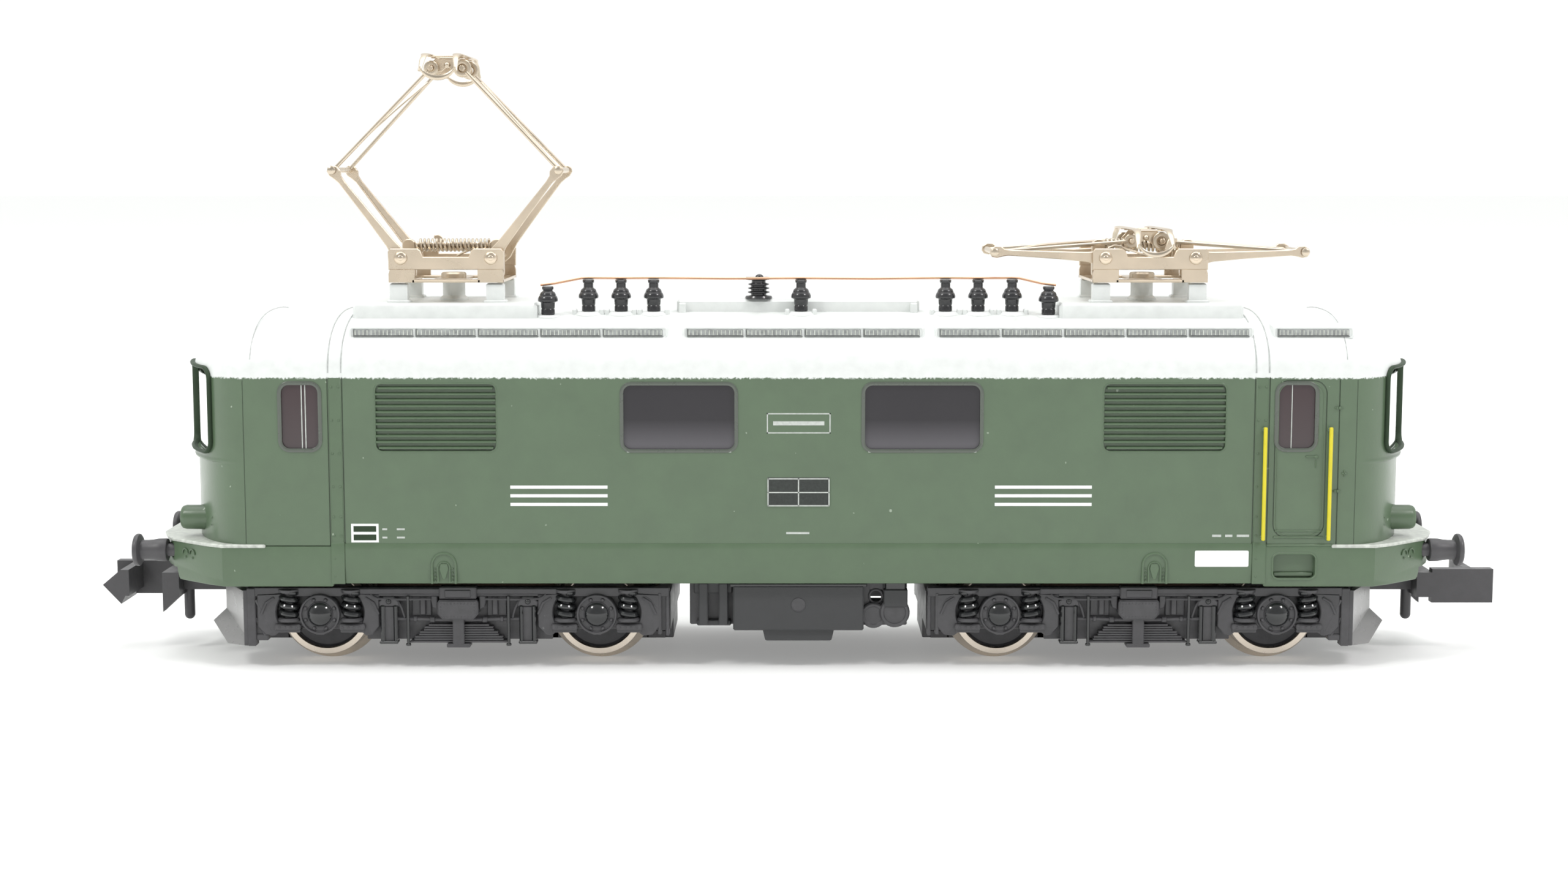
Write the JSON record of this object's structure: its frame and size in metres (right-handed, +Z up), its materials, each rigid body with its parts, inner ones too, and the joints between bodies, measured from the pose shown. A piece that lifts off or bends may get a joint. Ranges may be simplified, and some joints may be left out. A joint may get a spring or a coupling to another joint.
{
  "type": "model electric locomotive",
  "caption": "Small-scale model electric locomotive with two swivelling geared bogies, hook couplers and two folding diamond pantographs, one raised and one lowered.",
  "frame": {"origin": "Middle of the locomotive at the bottom of the wheel flanges", "axes": "+X along the track towards the end with the lowered pantograph, +Y across the track, +Z up"},
  "size_m": [0.1004, 0.0194, 0.0428],
  "materials": {
    "green_paint": "satin",
    "roof_silver": "satin",
    "clear": "gloss",
    "lens": "gloss",
    "zinc": "blackened",
    "steel": "satin",
    "nickel_silver": "satin",
    "board": "solder mask",
    "magnet": "matt",
    "brass": "turned",
    "copper": "drawn wire",
    "windings": "lacquered copper wire",
    "black_plastic": "moulded, satin",
    "grey_plastic": "moulded, satin",
    "black_gloss": "gloss",
    "yellow": "gloss",
    "gear_plastic": "acetal"
  },
  "bodies": {
    "chassis": {"body_shell": "green_paint", "roof_shell": "roof_silver", "side_glazing": "clear", "cab_glazing": "clear", "headlight_lenses": "lens", "light_guides": "lens", "frame_half_near": "zinc", "frame_half_far": "zinc", "frame_screws": "steel", "circuit_board": "board", "motor_can": "steel", "motor_magnets": "magnet", "shaft_bearings": "brass", "underframe_box": "grey_plastic", "buffers": "black_plastic", "door_handrails": "yellow", "roof_insulators": "black_gloss", "roof_busbar": "copper", "main_switch": "black_gloss", "panto_bases": "nickel_silver", "panto_springs": "steel"},
    "rotor": {"motor_shaft": "steel", "armature": "windings", "commutator": "copper", "worms": "brass", "flywheels": "brass"},
    "truck_a": {"bogie_frame_a": "grey_plastic", "gear_tower_a": "black_plastic", "pickups_a": "copper"},
    "truck_b": {"bogie_frame_b": "grey_plastic", "gear_tower_b": "black_plastic", "pickups_b": "copper"},
    "coupling_swing_a": {"coupler_spring_a": "steel"},
    "coupling_swing_b": {"coupler_spring_b": "steel"},
    "worm_gear_a": {"worm_wheel_a": "gear_plastic"},
    "worm_gear_b": {"worm_wheel_b": "gear_plastic"},
    "idler_a1": {"idler_gear_a1": "gear_plastic"},
    "idler_a2": {"idler_gear_a2": "gear_plastic"},
    "idler_b1": {"idler_gear_b1": "gear_plastic"},
    "idler_b2": {"idler_gear_b2": "gear_plastic"},
    "wheelset_a1": {"wheels_a1": "steel", "axle_gear_a1": "gear_plastic"},
    "wheelset_a2": {"wheels_a2": "steel", "axle_gear_a2": "gear_plastic"},
    "wheelset_b1": {"wheels_b1": "steel", "axle_gear_b1": "gear_plastic"},
    "wheelset_b2": {"wheels_b2": "steel", "axle_gear_b2": "gear_plastic"},
    "coupling_a": {"coupler_a": "grey_plastic"},
    "coupling_b": {"coupler_b": "grey_plastic"},
    "pan_a_lower_arm_1": {"panto_a_lower_arm_1": "nickel_silver"},
    "pan_a_lower_arm_2": {"panto_a_lower_arm_2": "nickel_silver"},
    "pan_a_upper_arm_1": {"panto_a_upper_arm_1": "nickel_silver"},
    "pan_a_upper_arm_2": {"panto_a_upper_arm_2": "nickel_silver"},
    "pan_a_head": {"panto_a_head": "nickel_silver"},
    "pan_b_lower_arm_1": {"panto_b_lower_arm_1": "nickel_silver"},
    "pan_b_lower_arm_2": {"panto_b_lower_arm_2": "nickel_silver"},
    "pan_b_upper_arm_1": {"panto_b_upper_arm_1": "nickel_silver"},
    "pan_b_upper_arm_2": {"panto_b_upper_arm_2": "nickel_silver"},
    "pan_b_head": {"panto_b_head": "nickel_silver"}
  },
  "joints": [
    {"name": "drive", "type": "hinge", "parent": "chassis", "child": "rotor", "pos_m": [0, 0, 0.013], "axis": [1, 0, 0], "continuous": true},
    {"name": "bogie_a_swivel", "type": "hinge", "parent": "chassis", "child": "truck_a", "pos_m": [-0.0237, 0, 0.0092], "axis": [0, 0, 1], "range_deg": [-7.5, 7.5]},
    {"name": "worm_gear_a_spin", "type": "hinge", "parent": "truck_a", "child": "worm_gear_a", "pos_m": [-0.0237, 0, 0.0082], "axis": [0, 1, 0], "continuous": true},
    {"name": "idler_a1_spin", "type": "hinge", "parent": "truck_a", "child": "idler_a1", "pos_m": [-0.02851, 0, 0.00496], "axis": [0, 1, 0], "continuous": true},
    {"name": "axle_a1_spin", "type": "hinge", "parent": "truck_a", "child": "wheelset_a1", "pos_m": [-0.03335, 0, 0.0037], "axis": [0, 1, 0], "continuous": true},
    {"name": "idler_a2_spin", "type": "hinge", "parent": "truck_a", "child": "idler_a2", "pos_m": [-0.01889, 0, 0.00496], "axis": [0, 1, 0], "continuous": true},
    {"name": "axle_a2_spin", "type": "hinge", "parent": "truck_a", "child": "wheelset_a2", "pos_m": [-0.01405, 0, 0.0037], "axis": [0, 1, 0], "continuous": true},
    {"name": "coupler_a_swing", "type": "hinge", "parent": "truck_a", "child": "coupling_swing_a", "pos_m": [-0.039, 0, 0.0048], "axis": [0, 0, 1], "range_deg": [-8, 8], "stiffness_Nm_per_rad": 0.0002},
    {"name": "coupler_a_lift", "type": "hinge", "parent": "coupling_swing_a", "child": "coupling_a", "pos_m": [-0.039, 0, 0.0048], "axis": [0, 1, 0], "range_deg": [0, 4], "stiffness_Nm_per_rad": 0.0002, "springref_deg": -2.86},
    {"name": "bogie_b_swivel", "type": "hinge", "parent": "chassis", "child": "truck_b", "pos_m": [0.0237, 0, 0.0092], "axis": [0, 0, 1], "range_deg": [-7.5, 7.5]},
    {"name": "worm_gear_b_spin", "type": "hinge", "parent": "truck_b", "child": "worm_gear_b", "pos_m": [0.0237, 0, 0.0082], "axis": [0, 1, 0], "continuous": true},
    {"name": "idler_b1_spin", "type": "hinge", "parent": "truck_b", "child": "idler_b1", "pos_m": [0.01889, 0, 0.00496], "axis": [0, 1, 0], "continuous": true},
    {"name": "axle_b1_spin", "type": "hinge", "parent": "truck_b", "child": "wheelset_b1", "pos_m": [0.01405, 0, 0.0037], "axis": [0, 1, 0], "continuous": true},
    {"name": "idler_b2_spin", "type": "hinge", "parent": "truck_b", "child": "idler_b2", "pos_m": [0.02851, 0, 0.00496], "axis": [0, 1, 0], "continuous": true},
    {"name": "axle_b2_spin", "type": "hinge", "parent": "truck_b", "child": "wheelset_b2", "pos_m": [0.03335, 0, 0.0037], "axis": [0, 1, 0], "continuous": true},
    {"name": "coupler_b_swing", "type": "hinge", "parent": "truck_b", "child": "coupling_swing_b", "pos_m": [0.039, 0, 0.0048], "axis": [0, 0, 1], "range_deg": [-8, 8], "stiffness_Nm_per_rad": 0.0002},
    {"name": "coupler_b_lift", "type": "hinge", "parent": "coupling_swing_b", "child": "coupling_b", "pos_m": [0.039, 0, 0.0048], "axis": [0, -1, 0], "range_deg": [0, 4], "stiffness_Nm_per_rad": 0.0002, "springref_deg": -2.86},
    {"name": "panto_a_fold", "type": "hinge", "parent": "chassis", "child": "pan_a_lower_arm_1", "pos_m": [-0.02797, 0, 0.0285], "axis": [0, -1, 0], "range_deg": [0, 49.1], "stiffness_Nm_per_rad": 0.0002, "springref_deg": -40.11},
    {"name": "panto_a_lower_2", "type": "hinge", "parent": "chassis", "child": "pan_a_lower_arm_2", "pos_m": [-0.02163, 0, 0.0285], "axis": [0, 1, 0], "range_deg": [0, 49.11]},
    {"name": "panto_a_elbow_1", "type": "hinge", "parent": "pan_a_lower_arm_1", "child": "pan_a_upper_arm_1", "pos_m": [-0.03276, 0, 0.03465], "axis": [0, 1, 0], "range_deg": [0, 91.12]},
    {"name": "panto_a_elbow_2", "type": "hinge", "parent": "pan_a_lower_arm_2", "child": "pan_a_upper_arm_2", "pos_m": [-0.01684, 0, 0.03465], "axis": [0, -1, 0], "range_deg": [0, 91.12]},
    {"name": "panto_a_head_level", "type": "hinge", "parent": "pan_a_upper_arm_1", "child": "pan_a_head", "pos_m": [-0.0259, 0, 0.04179], "axis": [0, -1, 0], "range_deg": [0, 42.02]},
    {"name": "panto_b_fold", "type": "hinge", "parent": "chassis", "child": "pan_b_lower_arm_1", "pos_m": [0.02163, 0, 0.0285], "axis": [0, 1, 0], "range_deg": [0, 49.1]},
    {"name": "panto_b_lower_2", "type": "hinge", "parent": "chassis", "child": "pan_b_lower_arm_2", "pos_m": [0.02797, 0, 0.0285], "axis": [0, -1, 0], "range_deg": [0, 49.11]},
    {"name": "panto_b_elbow_1", "type": "hinge", "parent": "pan_b_lower_arm_1", "child": "pan_b_upper_arm_1", "pos_m": [0.01385, 0, 0.02891], "axis": [0, -1, 0], "range_deg": [0, 91.12]},
    {"name": "panto_b_elbow_2", "type": "hinge", "parent": "pan_b_lower_arm_2", "child": "pan_b_upper_arm_2", "pos_m": [0.03575, 0, 0.02891], "axis": [0, 1, 0], "range_deg": [0, 91.12]},
    {"name": "panto_b_head_level", "type": "hinge", "parent": "pan_b_upper_arm_1", "child": "pan_b_head", "pos_m": [0.02372, 0, 0.02963], "axis": [0, 1, 0], "range_deg": [0, 42.02]}
  ],
  "couplings": [
    {"joint": "worm_gear_a_spin", "follows": "drive", "ratio": 0.0625},
    {"joint": "idler_a1_spin", "follows": "drive", "ratio": -0.076923},
    {"joint": "axle_a1_spin", "follows": "drive", "ratio": 0.083333},
    {"joint": "idler_a2_spin", "follows": "drive", "ratio": -0.076923},
    {"joint": "axle_a2_spin", "follows": "drive", "ratio": 0.083333},
    {"joint": "worm_gear_b_spin", "follows": "drive", "ratio": 0.0625},
    {"joint": "idler_b1_spin", "follows": "drive", "ratio": -0.076923},
    {"joint": "axle_b1_spin", "follows": "drive", "ratio": 0.083333},
    {"joint": "idler_b2_spin", "follows": "drive", "ratio": -0.076923},
    {"joint": "axle_b2_spin", "follows": "drive", "ratio": 0.083333},
    {"joint": "panto_a_lower_2", "follows": "panto_a_fold", "ratio": 1},
    {"joint": "panto_a_elbow_1", "follows": "panto_a_fold", "ratio": 1.8549},
    {"joint": "panto_a_elbow_2", "follows": "panto_a_fold", "ratio": 1.8549},
    {"joint": "panto_a_head_level", "follows": "panto_a_fold", "ratio": 0.8549},
    {"joint": "panto_b_lower_2", "follows": "panto_b_fold", "ratio": 1},
    {"joint": "panto_b_elbow_1", "follows": "panto_b_fold", "ratio": 1.8549},
    {"joint": "panto_b_elbow_2", "follows": "panto_b_fold", "ratio": 1.8549},
    {"joint": "panto_b_head_level", "follows": "panto_b_fold", "ratio": 0.8549}
  ]
}
